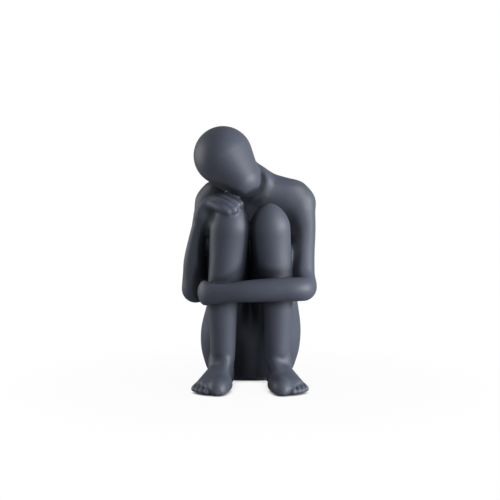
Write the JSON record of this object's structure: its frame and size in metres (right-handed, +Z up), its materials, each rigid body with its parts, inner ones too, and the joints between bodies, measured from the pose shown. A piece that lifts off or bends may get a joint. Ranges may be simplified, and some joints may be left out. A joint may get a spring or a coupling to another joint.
{
  "type": "seated man figurine",
  "caption": "Faceless ceramic figure of a man seated on the ground, resting his head on the hand that lies on his knee.",
  "frame": {"origin": "middle of the base, on the surface that the figure stands on", "axes": "+Z up, the figure faces -Y, +X to the figure's left"},
  "size_m": [0.1285, 0.1402, 0.2453],
  "materials": {
    "glazed_ceramic": "satin slate-grey glaze",
    "felt": "pressed felt"
  },
  "bodies": {
    "root": {"trunk": "glazed_ceramic", "head": "glazed_ceramic", "right_arm": "glazed_ceramic", "left_arm": "glazed_ceramic", "right_leg": "glazed_ceramic", "left_leg": "glazed_ceramic", "right_seat_pad": "felt", "left_seat_pad": "felt", "right_foot_pad": "felt", "left_foot_pad": "felt"}
  },
  "joints": []
}
